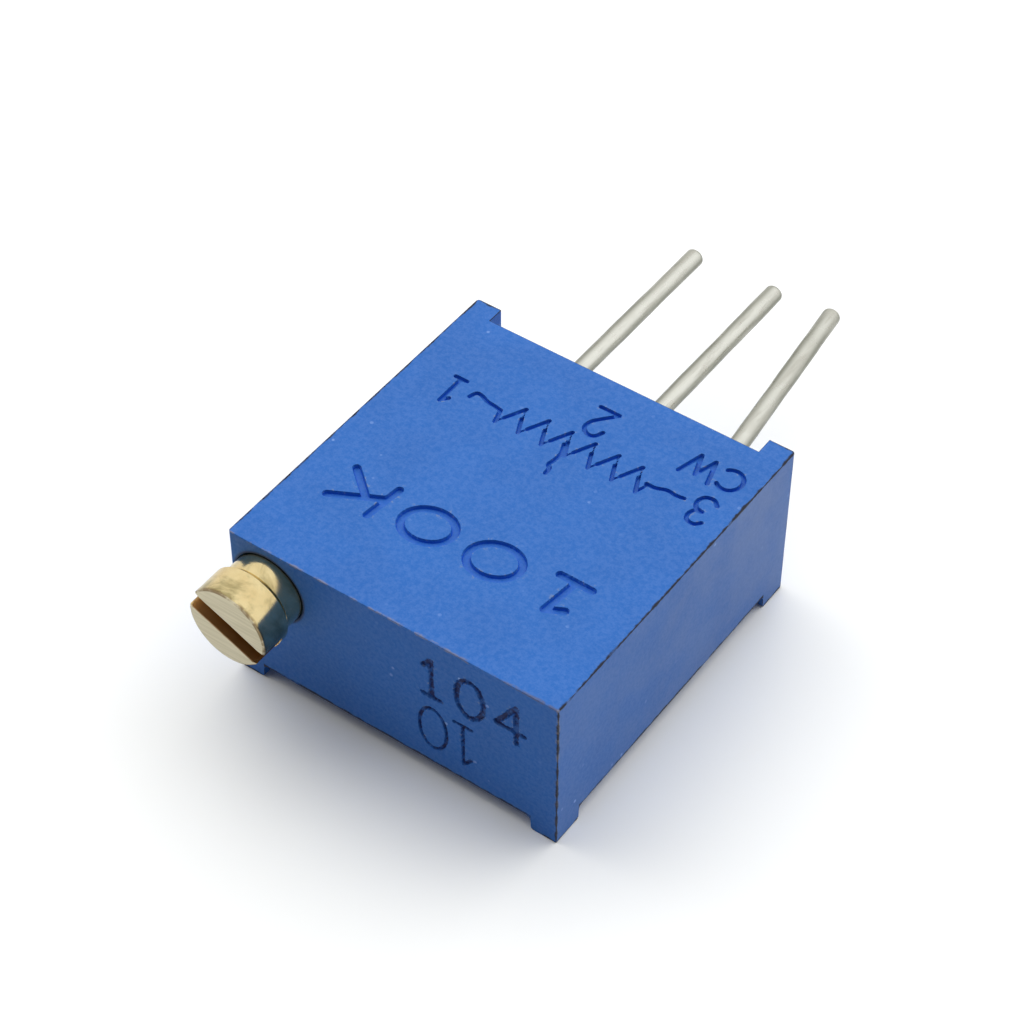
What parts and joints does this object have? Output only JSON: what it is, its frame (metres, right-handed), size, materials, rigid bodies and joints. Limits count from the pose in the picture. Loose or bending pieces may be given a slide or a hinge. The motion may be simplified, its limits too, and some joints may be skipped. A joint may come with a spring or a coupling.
{
  "type": "trimmer potentiometer",
  "caption": "Square multi-turn trimmer potentiometer: blue moulded housing on small feet, slotted brass adjusting screw on one face and round wire pins on the opposite face.",
  "frame": {"origin": "middle of the plane of the four feet, under the middle of the housing", "axes": "+Z out of the marked face, +Y out of the pin side along the pins, +X towards the clockwise end pin"},
  "size_m": [0.0096, 0.0188, 0.0048],
  "materials": {
    "housing_plastic": "moulded blue thermoset, fine matte skin, dark scuffed edges",
    "screw_brass": "turned brass, pale and slightly brushed",
    "seal_rubber": "moulded nitrile rubber",
    "clip_steel": "stamped spring steel",
    "wheel_nylon": "moulded natural nylon",
    "wiper_alloy": "stamped contact spring alloy",
    "alumina": "fired alumina",
    "resistive_ink": "fired cermet film",
    "conductor_ink": "fired silver film",
    "tinned_copper": "dull tinned wire",
    "solder": "satin solder",
    "potting_epoxy": "cast epoxy, smooth, slightly wavy"
  },
  "bodies": {
    "case": {"housing": "housing_plastic", "screw_retainer": "clip_steel", "ceramic_substrate": "alumina", "resistive_track": "resistive_ink", "collector_conductor": "conductor_ink", "end_conductor_1": "conductor_ink", "end_conductor_3": "conductor_ink", "terminal_pin_1": "tinned_copper", "terminal_pin_2": "tinned_copper", "terminal_pin_3": "tinned_copper", "solder_joint_1": "solder", "solder_joint_2": "solder", "solder_joint_3": "solder", "epoxy_seal": "potting_epoxy"},
    "adjuster": {"adjustment_screw": "screw_brass", "shaft_o_ring": "seal_rubber"},
    "rotor": {"worm_wheel": "wheel_nylon", "wiper_contact": "wiper_alloy"}
  },
  "joints": [
    {"name": "adjuster_turn", "type": "hinge", "parent": "case", "child": "adjuster", "pos_m": [-0.00362, 0, 0.00356], "axis": [0, 1, 0], "range_deg": [-4500, 4500]},
    {"name": "rotor_turn", "type": "hinge", "parent": "case", "child": "rotor", "pos_m": [0.00019, -0.00007, 0.00356], "axis": [0, 0, 1], "range_deg": [-140.7, 140.7]}
  ],
  "couplings": [
    {"joint": "rotor_turn", "follows": "adjuster_turn", "ratio": 0.03125}
  ]
}
